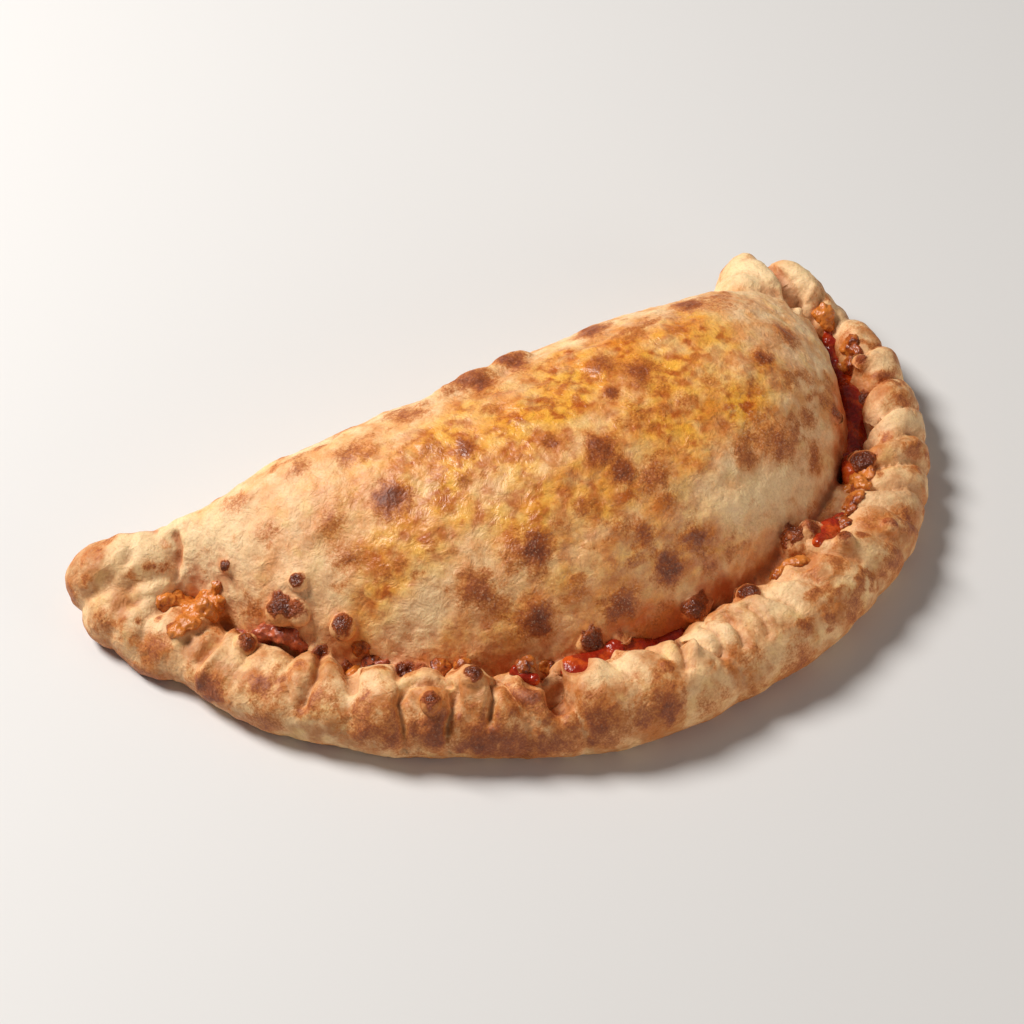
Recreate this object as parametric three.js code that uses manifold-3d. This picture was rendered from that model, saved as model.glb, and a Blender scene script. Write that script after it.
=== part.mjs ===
// A calzone: a round of pizza dough folded in half over its filling. The fold is the nearly
// straight back edge (+Y). The open edge is rolled inwards and pinched pleat by pleat into a
// rope that runs round the front (-Y) from a curled-in knob (-X) to an upright horn (+X).
// It is one piece of baked dough, so it is one solid. Millimetres, +Z up, and the origin is
// the middle of the footprint, on the surface that the calzone lies on.
import * as THREE from "three";
import { ParametricGeometry } from "three/addons/geometries/ParametricGeometry.js";
import { mergeVertices } from "three/addons/utils/BufferGeometryUtils.js";
import Module from "manifold-3d";

const wasm = await Module();
wasm.setup();
const { clamp, lerp, smoothstep, degToRad } = THREE.MathUtils;

// ---- Driving dimensions ----
const ROPE_LENGTH = 295; // between the shoulders of the rope, the whole being 3 mm longer
const ROPE_MIDDLE_X = 3; // the knob stands out past the rope, which puts its middle off centre
const DEPTH = 159; // from the front of the rope to the back of the knob
const HEIGHT = 57; // top of the filled part
const SHOULDER_Y = 48; // where both arms of the rope start to run straight back
const LEFT_ROUNDNESS = 1.65; // superellipse powers of the half disc: 2 is a true ellipse,
const RIGHT_ROUNDNESS = 2.25; // less is flatter and more is squarer
const FRONT_SWAY = 4.5; // how far right of the rope's middle its frontmost point lies

// ---- The half disc ----
// A point on the rope's outline drawn in by inset. turn runs from 0 at the left shoulder
// through 0.5 at the front to 1 at the right shoulder, and a little past both along the arms.
const ARM_PITCH = 250; // millimetres of arm for a whole turn

function outlinePoint(turn, inset) {
  const within = clamp(turn, 0, 1);
  const arm = Math.abs(turn - within) * ARM_PITCH;
  const angle = Math.PI * (1 + within);
  const side = smoothstep(within, 0.35, 0.65);
  const power = 2 / lerp(LEFT_ROUNDNESS, RIGHT_ROUNDNESS, side);
  const cos = Math.cos(angle);
  const sin = Math.abs(Math.sin(angle));
  const across = ROPE_LENGTH / 2 - inset;
  const forward = SHOULDER_Y + DEPTH / 2 - inset;
  return new THREE.Vector2(
    ROPE_MIDDLE_X + FRONT_SWAY * sin + across * Math.sign(cos) * Math.abs(cos) ** power,
    SHOULDER_Y + arm - forward * sin ** power,
  );
}

// ---- Solids ----
// A closed geometry as a manifold solid, ready to be joined to the others.
function solidOf(geometry) {
  const bare = geometry.clone();
  bare.deleteAttribute("normal");
  bare.deleteAttribute("uv");
  const merged = mergeVertices(bare, 1e-3);
  return new wasm.Manifold(
    new wasm.Mesh({
      numProp: 3,
      vertProperties: merged.attributes.position.array,
      triVerts: new Uint32Array(merged.index.array),
    }),
  );
}

// How a swept form narrows to a point at both ends: 1 half way along it and 0 at its ends.
function taper(along, bluntness) {
  return Math.max(0, 1 - (2 * along - 1) ** 2) ** bluntness;
}

// A lump of dough: an ellipsoid with its middle at [x, y, z] and half-lengths along its own
// X, Y and Z. Its own X points along heading.
function lump([x, y, z], half, heading = 0, sides = 12) {
  const up = new THREE.Vector3(0, 0, 1);
  const placing = new THREE.Matrix4().compose(
    new THREE.Vector3(x, y, z),
    new THREE.Quaternion().setFromAxisAngle(up, heading),
    new THREE.Vector3(...half),
  );
  const rings = Math.round(sides * 0.6);
  return solidOf(new THREE.SphereGeometry(1, sides, rings).applyMatrix4(placing));
}

// ---- Belly: the filled part under the fold ----
const BELLY_HALF = 137; // its ends lie inside the knob and the horn
const BELLY_TUCK = 6; // how far its front edge reaches in under the rope
const FOLD_BACK = 75; // how far back the middle of the fold reaches
const FOLD_BOW = 8; // how far it bows past its ends
const UNDERSIDE_SHARE = 0.2; // the share of each ring that is its flat underside
const SUNK = 3; // how far everything reaches below the surface before the flat cut
const BELLY_STATIONS = 36;
const BELLY_RING = 26;

function bellyEdge(turn) {
  return outlinePoint(turn, ropeInset(turn) + ropeWidth(turn) - BELLY_TUCK);
}

function bellyFront(x) {
  let low = 0;
  let high = 1;
  for (let halving = 0; halving < 24; halving += 1) {
    const turn = (low + high) / 2;
    if (bellyEdge(turn).x < x) low = turn;
    else high = turn;
  }
  return bellyEdge(low).y;
}

function bellyBack(x) {
  return FOLD_BACK - FOLD_BOW * (x / BELLY_HALF) ** 2;
}

// The filling is heaped towards the right, and thins out to the left.
function crownHeight(x) {
  const share = Math.abs(x) / BELLY_HALF;
  return HEIGHT * (x < 0 ? (1 - share ** 2.2) ** 0.62 : (1 - share ** 3.6) ** 0.62);
}

// Where the crown lies from front to back: the thin left end slopes down from the fold.
function crownShare(x) {
  return lerp(0.56, 0.72, smoothstep(-x, 10, 110));
}

// Rings round the belly at stations along X: over the top from front to back, then back
// along the bottom.
function bellyPoint(along, round, target) {
  const x = -BELLY_HALF * Math.cos(Math.PI * along);
  const front = bellyFront(x);
  const middle = (front + bellyBack(x)) / 2;
  const halfDepth = (middle - front) * taper(along, 0.12);
  const over = Math.min(1, round / (1 - UNDERSIDE_SHARE));
  const under = Math.max(0, (round - 1 + UNDERSIDE_SHARE) / UNDERSIDE_SHARE);
  const share = (1 - Math.cos(Math.PI * over)) / 2 - under;
  const crown = crownShare(x);
  const fromCrown = Math.abs(share - crown) / (share < crown ? crown : 1 - crown);
  const fullness = share < crown ? 1.9 : 2.3;
  const rise = under > 0 ? 0 : Math.max(0, 1 - fromCrown ** fullness) ** (1 / fullness);
  const sunk = SUNK * taper(along, 0.2);
  target.set(x, middle + halfDepth * (2 * share - 1), (crownHeight(x) + sunk) * rise - sunk);
}

function belly() {
  return solidOf(new ParametricGeometry(bellyPoint, BELLY_STATIONS, BELLY_RING));
}

// ---- Rope: the rolled edge, pinched into pleats between these creases ----
const CREASE_TURNS = [
  -0.045, 0.028, 0.083, 0.133, 0.175, 0.22, 0.263, 0.296, 0.33, 0.372, 0.424, 0.471, 0.508,
  0.543, 0.574, 0.602, 0.637, 0.674, 0.709, 0.741, 0.775, 0.811, 0.849, 0.889, 0.932, 0.974,
  1.03,
];
const CREASE_DEPTH = 5;
const CREASE_SLANT = 3; // how far a crease runs along the rope on its way over it
const PLEAT_STATIONS = 6;
const ROPE_RING = 14;

// It is widest at the front and narrows up the right arm.
function ropeWidth(turn) {
  return 31 - 7 * smoothstep(turn, 0.62, 0.88) - 3 * smoothstep(turn, 0.88, 1);
}

// It is low at the knob, fullest at the front and middling on the right.
function ropeHeight(turn) {
  return 21 + 5 * smoothstep(turn, 0.1, 0.4) - 3 * smoothstep(turn, 0.6, 0.8);
}

// The right arm leans in towards the horn.
function ropeInset(turn) {
  return 3.5 * smoothstep(turn, 0.94, 1.03);
}

// Rings round the rope, from its outer side over the top to its inner side and back along
// the bottom. Creases bite deepest on top and inside, and fade down the outer side.
function ropePoint(along, round, target) {
  const pleats = CREASE_TURNS.length - 1;
  const index = Math.min(pleats - 1, Math.floor(along * pleats));
  const across = along * pleats - index;
  const angle = 2 * Math.PI * round;
  const cos = Math.cos(angle);
  const sin = Math.sin(angle);
  const bulge = 1 - Math.abs(2 * across - 1) ** 2.5;
  const bite = CREASE_DEPTH * (1 - bulge) * (0.55 - 0.35 * cos + 0.1 * sin);
  const turn = lerp(CREASE_TURNS[index], CREASE_TURNS[index + 1], across);
  const size = taper(along, 0.12);
  const halfWide = (ropeWidth(turn) / 2 - bite) * size;
  const inset = ropeInset(turn) + ropeWidth(turn) / 2 - halfWide * cos;
  const slant = (CREASE_SLANT / ARM_PITCH) * cos * size;
  const point = outlinePoint(turn + slant, inset);
  const rise = ropeHeight(turn) * 0.42;
  const tall = sin > 0 ? ropeHeight(turn) - rise - bite : rise + SUNK;
  target.set(point.x, point.y, rise + tall * sin * size);
}

function rope() {
  const stations = PLEAT_STATIONS * (CREASE_TURNS.length - 1);
  return solidOf(new ParametricGeometry(ropePoint, stations, ROPE_RING));
}

// ---- Ends: the knob curls in on itself, the horn is two lobes pulled up and back ----
function knob() {
  return [
    lump([-132, 62.4, 10], [17.5, 15, 14], degToRad(60), 18),
    lump([-119, 60.4, 10], [11, 10, 12], degToRad(80), 14),
  ];
}

function horn() {
  return [
    lump([123, 61, 14], [16, 12, 16], degToRad(85), 14),
    lump([135, 56, 13], [14, 8, 14], degToRad(100), 14),
    lump([124, 70, 17], [9, 9, 10], 0, 12),
  ];
}

// ---- The one solid ----
// Everything is joined, and what lies below the surface that it rests on is cut away.
function calzoneSolid() {
  const parts = [belly(), rope(), ...knob(), ...horn()];
  const joined = parts.reduce((sum, part) => sum.add(part));
  const below = new THREE.BoxGeometry(2 * ROPE_LENGTH, 2 * DEPTH, HEIGHT);
  return joined.subtract(solidOf(below.translate(0, 0, -HEIGHT / 2)));
}

function geometryOf(solid) {
  const mesh = solid.getMesh();
  return new THREE.BufferGeometry()
    .setAttribute("position", new THREE.BufferAttribute(mesh.vertProperties, 3))
    .setIndex(new THREE.BufferAttribute(mesh.triVerts, 1));
}

const crust = new THREE.MeshStandardMaterial({ color: 0xd89a58, roughness: 0.6, metalness: 0 });
const calzone = new THREE.Mesh(geometryOf(calzoneSolid()), crust);
calzone.name = "calzone";

const model = new THREE.Group();
model.add(calzone);
export default model;
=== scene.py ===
"""A baked calzone on a pale table: the folded dough with its pleated rope, the tomato sauce
that has boiled out along the seam, and the cheese that has baked crisp on it."""

import math

import bpy
import numpy as np
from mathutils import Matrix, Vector
from mathutils.bvhtree import BVHTree


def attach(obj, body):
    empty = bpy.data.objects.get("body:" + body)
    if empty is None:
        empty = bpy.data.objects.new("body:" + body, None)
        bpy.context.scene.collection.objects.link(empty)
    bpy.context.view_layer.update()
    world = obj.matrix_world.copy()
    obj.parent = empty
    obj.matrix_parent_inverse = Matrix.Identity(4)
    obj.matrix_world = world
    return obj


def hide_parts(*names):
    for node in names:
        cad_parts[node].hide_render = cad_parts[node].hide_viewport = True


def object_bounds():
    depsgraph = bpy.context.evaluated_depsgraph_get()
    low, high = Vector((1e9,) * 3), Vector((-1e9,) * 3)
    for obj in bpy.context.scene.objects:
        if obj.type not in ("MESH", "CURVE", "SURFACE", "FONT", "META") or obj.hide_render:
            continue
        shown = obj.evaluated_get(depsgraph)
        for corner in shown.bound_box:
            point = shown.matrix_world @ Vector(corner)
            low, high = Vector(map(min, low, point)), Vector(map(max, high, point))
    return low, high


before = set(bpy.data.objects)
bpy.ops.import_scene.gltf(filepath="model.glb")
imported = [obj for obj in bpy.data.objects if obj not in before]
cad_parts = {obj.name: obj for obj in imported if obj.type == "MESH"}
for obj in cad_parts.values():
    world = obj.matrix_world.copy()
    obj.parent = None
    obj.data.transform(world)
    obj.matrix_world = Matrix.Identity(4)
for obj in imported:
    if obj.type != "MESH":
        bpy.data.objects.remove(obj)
cad_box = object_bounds()

# ---- Camera ----
# It looks down on the front of the calzone from the knob's side, as a person does who stands
# at the table with it in front of them.
MM = 0.001
AIM = Vector((-7.2, 21.8, 15)) * MM
AZIMUTH = math.radians(-31.2)
ELEVATION = math.radians(48)
DISTANCE = 803 * MM

camera = bpy.data.objects.new("camera", bpy.data.cameras.new("camera"))
bpy.context.scene.collection.objects.link(camera)
camera.data.lens = 85
back = Vector(
    (
        math.sin(AZIMUTH) * math.cos(ELEVATION),
        -math.cos(AZIMUTH) * math.cos(ELEVATION),
        math.sin(ELEVATION),
    )
)
camera.location = AIM + DISTANCE * back
camera.rotation_euler = (-back).to_track_quat("-Z", "Y").to_euler()
camera.data.clip_start = 0.01
bpy.context.scene.camera = camera

# ---- Table and light ----
# A plain pale table top under one large soft window to the left and behind. A weak warm lamp
# at the front right and the room's own pale light fill the shadows.
bpy.context.scene.view_settings.view_transform = "Standard"
FOOD_MIDDLE = Vector((0, 0, 0.02))


def soft_light(name, power, size, place, colour):
    """A round lamp of that many watts, aimed at the middle of the food."""
    lamp = bpy.data.lights.new(name, "AREA")
    lamp.energy = power
    lamp.shape = "DISK"
    lamp.size = size
    lamp.color = colour
    light = bpy.data.objects.new(name, lamp)
    light.location = place
    light.rotation_euler = (FOOD_MIDDLE - Vector(place)).to_track_quat("-Z", "Y").to_euler()
    bpy.context.scene.collection.objects.link(light)


TABLE_HALF = 6  # metres, so that its edge is never seen
TABLE_WHITE = (0.745, 0.74, 0.735, 1)
table_paint = bpy.data.materials.new("pale table")
table_paint.use_nodes = True
table_shader = table_paint.node_tree.nodes["Principled BSDF"]
table_shader.inputs["Base Color"].default_value = TABLE_WHITE
table_shader.inputs["Roughness"].default_value = 0.6
corners = [(-1, -1), (1, -1), (1, 1), (-1, 1)]
table_corners = [(x * TABLE_HALF, y * TABLE_HALF, 0) for x, y in corners]
table_mesh = bpy.data.meshes.new("table_top")
table_mesh.from_pydata(table_corners, [], [(0, 1, 2, 3)])
table_mesh.materials.append(table_paint)
table = bpy.data.objects.new("table_top", table_mesh)
bpy.context.scene.collection.objects.link(table)

soft_light("window", power=28.5, size=0.6, place=(-0.57, 0.82, 1.2), colour=(1, 0.965, 0.925))
soft_light("room", power=5.2, size=0.8, place=(0.62, -1.2, 0.3), colour=(1, 0.88, 0.74))
world = bpy.data.worlds.new("room")
world.use_nodes = True
surroundings = world.node_tree.nodes["Background"]
surroundings.inputs["Color"].default_value = (0.98, 0.97, 0.97, 1)
surroundings.inputs["Strength"].default_value = 0.135
bpy.context.scene.world = world

# ---- Dough: form ----
# One sheet of pizza dough, folded over the filling, its edge rolled in and pinched pleat by
# pleat into a rope. The rope, the belly and the ends are built apart and grown together.
ROPE_LENGTH = 295  # between the shoulders, in millimetres like all that follows
ROPE_MIDDLE_X = 3
SHOULDER_Y = 48  # where both arms of the rope start to run straight back
ROPE_FRONT_Y = cad_box[0][1] / MM
LEFT_ROUNDNESS = 1.65  # superellipse powers: 2 is a true ellipse, less is flatter
RIGHT_ROUNDNESS = 2.25  # and more is squarer
FRONT_SWAY = 4.5  # how far right of the rope's middle its frontmost point lies
ARM_PITCH = 250  # millimetres of arm for a whole turn
SUNK = 3  # how far each form reaches below the table before the underside is made flat


def ease(value, low, high):
    """0 below low, 1 above high, and a smooth change between them."""
    share = np.clip((value - low) / (high - low), 0, 1)
    return share * share * (3 - 2 * share)


def outline_point(turn, inset):
    """A point in plan on the rope's outline drawn in by inset. turn is 0 at the left shoulder,
    0.5 at the front and 1 at the right shoulder."""
    within = np.clip(turn, 0, 1)
    angle = math.pi * (1 + within)
    roundness = LEFT_ROUNDNESS + (RIGHT_ROUNDNESS - LEFT_ROUNDNESS) * ease(within, 0.35, 0.65)
    cos = np.cos(angle)
    sin = np.abs(np.sin(angle))
    x = ROPE_MIDDLE_X + FRONT_SWAY * sin
    x = x + (ROPE_LENGTH / 2 - inset) * np.sign(cos) * np.abs(cos) ** (2 / roundness)
    y = SHOULDER_Y + np.abs(turn - within) * ARM_PITCH
    y = y - (SHOULDER_Y - ROPE_FRONT_Y - inset) * sin ** (2 / roundness)
    return x, y


NOISE_START = 100.5  # this and the next shift each noise, so that no two line up
SEED_SHIFT = 17.13
HASH_STEPS = np.array([374761393, 668265263, 2147483647])
HASH_SEED = 974711
HASH_MIX = 1274126177


def lattice_noise(points, size, seed):
    """Smooth noise from -1 to 1 whose lumps are about size across."""
    scaled = points / size + NOISE_START + seed * SEED_SHIFT
    cell = np.floor(scaled).astype(np.int64)
    part = scaled - cell
    part = part * part * part * (part * (part * 6 - 15) + 10)
    total = np.zeros(len(points))
    for corner in np.ndindex(2, 2, 2):
        at = cell + np.array(corner)
        mixed = at @ HASH_STEPS + seed * HASH_SEED
        mixed = (mixed ^ (mixed >> 13)) * HASH_MIX & 0xFFFFFFFF
        value = ((mixed ^ (mixed >> 16)) & 0xFFFF) / 32767.5 - 1
        total += value * np.prod(np.where(corner, part, 1 - part), axis=1)
    return total


def lumpy_noise(points, size, seed, octaves=3):
    """Smooth noise with finer noise laid over it, each at half the size of the last."""
    return sum(
        lattice_noise(points, size / 2**octave, seed + octave) * 0.55**octave
        for octave in range(octaves)
    )


def tube(rings):
    """The vertices and faces of a closed form from rings of points, (stations, ring, 3)."""
    stations, around, _ = rings.shape
    index = np.arange(stations * around).reshape(stations, around)
    after = np.roll(index, -1, axis=1)
    sides = np.stack([index[:-1], after[:-1], after[1:], index[1:]], axis=-1).reshape(-1, 4)
    faces = [tuple(face) for face in sides]
    faces.append(tuple(index[0][::-1]))
    faces.append(tuple(index[-1]))
    return rings.reshape(-1, 3), faces


# Where the creases between the pleats lie, as turns, and how deep each bites. PLEAT_RISE is how
# far each pleat stands above the rope's own height, PLEAT_REACH how much further in it reaches.
CREASES = [
    -0.045, 0.028, 0.083, 0.133, 0.175, 0.22, 0.263, 0.296, 0.33, 0.372, 0.424, 0.471, 0.508,
    0.543, 0.574, 0.602, 0.637, 0.674, 0.709, 0.741, 0.775, 0.811, 0.849, 0.889, 0.932, 0.974,
    1.03,
]
CREASE_DEPTHS = [
    2, 2, 3, 4, 4, 6, 5.5, 5, 6, 10, 2.5, 3, 6, 5, 5, 5.5, 7, 5, 5.5, 6.5, 7.5, 7.5, 8, 8, 8, 5, 2,
]
PLEAT_RISE = [
    0, 0, -1, -1.5, 0, 1, 0.5, 1, -0.5, 1, 1, 0, -1, 1, -0.5, 0.5, 1, 0, -1.5, -1.5, 0.5, 0.5,
    -0.5, 1, 0, -0.5,
]
PLEAT_REACH = [
    0, 1, -2, 0, 1, 2, -1, 1, -3, 0, 1.5, 0, -1, 0, 2, -1, 1, 1, -3, -2, 0.5, -1.5, -2.5, 0, -2, -1,
]
WIDEST_SHARE = 0.42  # the height of the rope's widest line, as a share of its own height
ROPE_RUN = 420  # its length and radius, on which the noise in its skin is laid
ROPE_RADIUS = 14
CREASE_SLANT = 3.2  # how far a crease runs along the rope on its way over it
CREASE_WAVER = 11  # the size of the noise that makes the creases waver
CRINKLE_SIZE = 4.2  # and of the crinkles between them
CRINKLE_DEPTH = 1.3


def rope_width(turn):
    """It is widest at the front and narrows up the right arm."""
    return 31 - 7 * ease(turn, 0.62, 0.88) - 3 * ease(turn, 0.88, 1)


def rope_height(turn):
    """It is low at the knob, fullest at the front and middling on the right."""
    return 21.5 + 4.5 * ease(turn, 0.1, 0.4) - 3 * ease(turn, 0.6, 0.8)


def rope_inset(turn):
    """It leans in towards the horn, and has a waist beside the knob."""
    return 3.5 * ease(turn, 0.94, 1.03) + 3 * np.exp(-(((turn - 0.08) / 0.05) ** 2))


def rope_rings(per_pleat=26, around=90):
    """Rings round the rope, which dip at each crease: deepest on top and inside. On the right
    the pleats overlap, so that each rises slowly and drops steeply."""
    pleats = len(CREASES) - 1
    along = np.linspace(0, pleats, pleats * per_pleat + 1)
    pleat = np.minimum(along.astype(int), pleats - 1)
    across = along - pleat
    creases = np.array(CREASES)
    depths = np.array(CREASE_DEPTHS, float)
    turn = creases[pleat] + (creases[pleat + 1] - creases[pleat]) * across
    depth = np.where(across < 0.5, depths[pleat], depths[pleat + 1])
    sharp = ease(turn, 0.5, 0.65)
    overlap = 1 + 0.45 * sharp
    bow = np.abs(2 * across**overlap - 1)
    valley = (0.5 - 0.15 * sharp) * bow**2 + (0.5 + 0.15 * sharp) * bow ** (6 + 4 * sharp)
    rises = np.array(PLEAT_RISE + [PLEAT_RISE[-1]], float)
    reaches = np.array(PLEAT_REACH + [PLEAT_REACH[-1]], float)
    centred = along - 0.5
    low = np.clip(np.floor(centred).astype(int), 0, pleats - 1)
    mix = ease(centred - np.floor(centred), 0.25, 0.75)
    high = np.clip(low + 1, 0, pleats - 1)
    rise_by = rises[low] * (1 - mix) + rises[high] * mix
    reach_by = reaches[low] * (1 - mix) + reaches[high] * mix

    angle = np.linspace(0, 2 * math.pi, around, endpoint=False)[None, :]
    cos, sin = np.cos(angle), np.sin(angle)
    inner = np.clip(-cos, 0, 1)
    top = np.clip(sin, 0, 1)
    skin = (turn[:, None] * ROPE_RUN, ROPE_RADIUS * cos, ROPE_RADIUS * sin)
    skin = np.stack(np.broadcast_arrays(*skin), axis=-1)
    waver = lattice_noise(skin.reshape(-1, 3), CREASE_WAVER, seed=5).reshape(skin.shape[:2])
    drawn_out = (skin * [1, 0.25, 0.25]).reshape(-1, 3)
    fold = lattice_noise(drawn_out, CRINKLE_SIZE, seed=9).reshape(waver.shape)
    pinch = (1 - np.abs(fold)) ** 5
    outside = 0.5 - (0.38 - 0.2 * ease(turn, 0.55, 0.75))[:, None] * cos
    bite = depth[:, None] * valley[:, None] * (outside + 0.16 * sin)
    bite = bite * (1.15 + 0.4 * waver)
    crinkle = CRINKLE_DEPTH * (pinch - 0.2) * (0.12 + 0.88 * np.clip(inner + 0.6 * top - 0.25, 0, 1))
    size = np.clip(1 - (2 * along / pleats - 1) ** 2, 0, 1)[:, None] ** 0.12
    width = rope_width(turn)[:, None]
    half_wide = width / 2 - bite - crinkle + reach_by[:, None] * inner**2
    inset = rope_inset(turn)[:, None] + width / 2 - half_wide * size * cos
    slant = (CREASE_SLANT * cos + 1.6 * waver) / ARM_PITCH * size
    x, y = outline_point(turn[:, None] + slant, inset)
    height = rope_height(turn)[:, None] + rise_by[:, None]
    middle = height * WIDEST_SHARE
    tall = np.where(sin > 0, height - middle - bite - crinkle, middle + SUNK)
    return np.stack([x, y, middle + tall * size * sin], axis=-1)


BELLY_HALF = 137  # its ends lie inside the knob and the horn
BELLY_TUCK = 3.2  # how far its front edge reaches in under the rope
RIGHT_TUCK = 0.6  # and on the right, where the seam gapes
FOLD_BACK = 75  # how far back the middle of the fold reaches
FOLD_BOW = 8  # how far it bows past its ends
ROLL_HEIGHT = 16  # below this the back of the belly rolls under
ROLL_REACH = 6


def belly_rings(stations=220, over_points=120, under_points=20):
    """Rings round the belly at stations along X, over the top and back along the bottom. The
    filling is heaped towards the right and thins out to the left."""
    turns = np.linspace(0, 1, 800)
    tuck = BELLY_TUCK + (RIGHT_TUCK - BELLY_TUCK) * ease(turns, 0.66, 0.78)
    edge_x, edge_y = outline_point(turns, rope_inset(turns) + rope_width(turns) - tuck)
    along = np.linspace(0, 1, stations)
    x = -BELLY_HALF * np.cos(math.pi * along)
    front = np.interp(x, edge_x, edge_y)
    back_edge = FOLD_BACK - FOLD_BOW * (x / BELLY_HALF) ** 2
    taper = np.clip(1 - (2 * along - 1) ** 2, 0, 1) ** 0.12
    middle = (front + back_edge) / 2
    half_depth = (middle - front) * taper
    share_x = np.abs(x) / BELLY_HALF
    crown = np.where(
        x < 0, np.clip(1 - share_x**2.2, 0, 1) ** 0.62, np.clip(1 - share_x**3.6, 0, 1) ** 0.62
    )
    crown_height = cad_box[1][2] / MM * crown
    crown_share = 0.56 + 0.16 * ease(-x, 10, 110)

    share = (1 - np.cos(math.pi * np.linspace(0, 1, over_points))) / 2
    in_front = share[None, :] < crown_share[:, None]
    reach = np.where(in_front, crown_share[:, None], 1 - crown_share[:, None])
    away = np.abs(share[None, :] - crown_share[:, None]) / reach
    fullness = np.where(in_front, 1.9, 2.3)
    rise = np.clip(1 - away**fullness, 0, 1) ** (1 / fullness)
    sunk = SUNK * taper[:, None]
    z = (crown_height[:, None] + sunk) * rise - sunk
    y = middle[:, None] + half_depth[:, None] * (2 * share - 1)
    low_share = np.clip(1 - (z + sunk) / ROLL_HEIGHT, 0, 1)
    rolled_under = low_share**2 * ROLL_REACH * taper[:, None]
    y = y - np.where(share > 0.5, rolled_under, 0)
    under = np.linspace(1, 0, under_points + 2)[1:-1]
    last = y[:, -1:]
    under_y = y[:, :1] + (last - y[:, :1]) * under
    y = np.concatenate([y, under_y], axis=1)
    z = np.concatenate([z, np.broadcast_to(-sunk, under_y.shape)], axis=1)
    return np.stack([np.broadcast_to(x[:, None], y.shape), y, z], axis=-1)


def lump_rings(place, half, heading=0.0, tilt=0.0, stations=26, around=28):
    """An ellipsoid of dough, its long axis along heading in plan and tilted up by tilt."""
    polar = np.linspace(0, math.pi, stations)[:, None]
    turn = np.linspace(0, 2 * math.pi, around, endpoint=False)[None, :]
    along = -np.cos(polar) * np.ones_like(turn) * half[0]
    side = np.sin(polar) * np.cos(turn) * half[1]
    up = np.sin(polar) * np.sin(turn) * half[2]
    heading, tilt = math.radians(heading), math.radians(tilt)
    forward = along * math.cos(tilt) - up * math.sin(tilt)
    lifted = along * math.sin(tilt) + up * math.cos(tilt)
    x = place[0] + forward * math.cos(heading) - side * math.sin(heading)
    y = place[1] + forward * math.sin(heading) + side * math.cos(heading)
    return np.stack([x, y, place[2] + lifted], axis=-1)


# The knob: the rope's end is turned back and tucked in, so that an upper lobe hangs over a lower
# one. The horn: the other end is pulled up into two lobes side by side. Each is its middle, its
# half lengths, its heading in plan and its tilt.
KNOB_LUMPS = [
    ((-131.5, 65, 13), (16.5, 12.5, 14.5), -18, 0),
    ((-122, 61.5, 15), (13.5, 12, 14), -20, 0),
    ((-127, 65, 15), (9.5, 10, 14), 0, 0),
    ((-136, 56, 9), (11, 13, 11.5), 0, 0),
    ((-124, 51, 11.5), (12.5, 9.5, 10.5), 15, 0),
    ((-133.5, 45, 8.5), (9, 15, 10.5), 12, 0),
    ((-132, 38, 6), (8, 13, 8.5), 20, 0),
    ((-113, 62, 14), (11, 9, 13.5), 0, 0),
    ((-112, 53, 13), (9, 9, 12), 0, 0),
]
HORN_LUMPS = [
    ((119.5, 62, 17), (17.5, 11, 16), 100, 6),
    ((121, 70, 19), (10.5, 9, 11.5), 60, 0),
    ((134, 59, 15), (14, 8, 14.5), 108, 8),
    ((136, 46, 13), (10, 7, 10.5), 60, 0),
    ((112, 60, 18.5), (12.5, 9.5, 15), 160, 0),
]
BASE_INSET = 12  # of the lower sheet, inside the rope
BASE_TOP = 8


def base_rings(steps=160):
    """The lower sheet of dough, which closes the gap under the seam."""
    turn = np.linspace(0, 1, steps)
    x, y = outline_point(turn, np.full(steps, float(BASE_INSET)))
    plan = np.stack([x, y], axis=-1)
    low = np.concatenate([plan, np.full((steps, 1), -SUNK)], axis=1)
    high = np.concatenate([plan, np.full((steps, 1), BASE_TOP)], axis=1)
    return np.stack([low, high])


dough_sources = [tube(belly_rings()), tube(rope_rings()), tube(base_rings())]
for place, half, heading, tilt in KNOB_LUMPS + HORN_LUMPS:
    dough_sources.append(tube(lump_rings(place, half, heading, tilt)))

# Here the filling presses the upper sheet out against the rope, and the seam stays shallow.
SHALLOW_SEAM = (0.575, 0.745)  # from turn to turn
SHALLOW_LUMPS = 14
SHALLOW_HALF = (7, 5.5, 8)
SHALLOW_HEIGHT = 9
SHALLOW_TUCK = 1
for turn in np.linspace(*SHALLOW_SEAM, SHALLOW_LUMPS):
    x, y = outline_point(turn, rope_inset(turn) + rope_width(turn) - SHALLOW_TUCK)
    dough_sources.append(tube(lump_rings((float(x), float(y), SHALLOW_HEIGHT), SHALLOW_HALF)))


def joined(sources):
    """The vertices and faces of several closed forms as those of one."""
    vertices, faces, start = [], [], 0
    for points, sides in sources:
        vertices.append(points)
        faces.extend(tuple(int(i) + start for i in side) for side in sides)
        start += len(points)
    return np.concatenate(vertices), faces


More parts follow.
